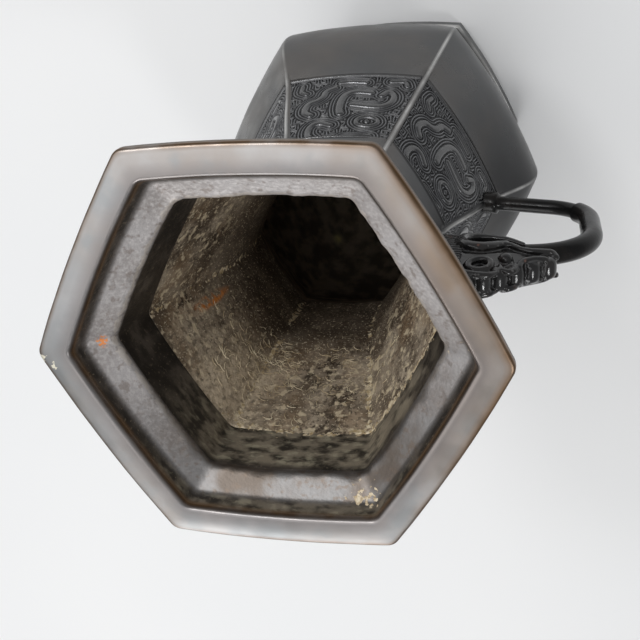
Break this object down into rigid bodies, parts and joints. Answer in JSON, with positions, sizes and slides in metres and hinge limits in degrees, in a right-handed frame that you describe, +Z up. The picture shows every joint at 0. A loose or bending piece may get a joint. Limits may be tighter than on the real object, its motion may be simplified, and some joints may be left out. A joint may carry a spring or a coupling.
{
  "type": "hexagonal hu vessel",
  "caption": "Upright hexagonal bronze hu vase with a stepped flaring mouth, slender neck, full belly, stepped foot and beast-head loop handles on opposite corners.",
  "frame": {"origin": "centre of the hexagonal face of the foot, on the surface that the vessel stands on", "axes": "+Z up along the vessel's axis to the mouth, +X through the corner that carries the right handle, +Y across two flat sides"},
  "size_m": [0.1608, 0.1122, 0.262],
  "materials": {
    "bronze": "dark brown patina, satin outside, worn to brown metal along the lip, rough and encrusted inside",
    "handle_bronze": "near-black patina with a soft gloss, rubbed on the high points",
    "solder": "dull grey soft solder, hidden in the laps"
  },
  "bodies": {
    "root": {"mouth_rim": "bronze", "neck": "bronze", "belly": "bronze", "foot": "bronze", "base_plate": "bronze", "core_plugs": "bronze", "right_beast_head": "handle_bronze", "left_beast_head": "handle_bronze", "right_loop": "handle_bronze", "left_loop": "handle_bronze", "mouth_solder": "solder", "neck_solder": "solder", "foot_solder": "solder"}
  },
  "joints": []
}
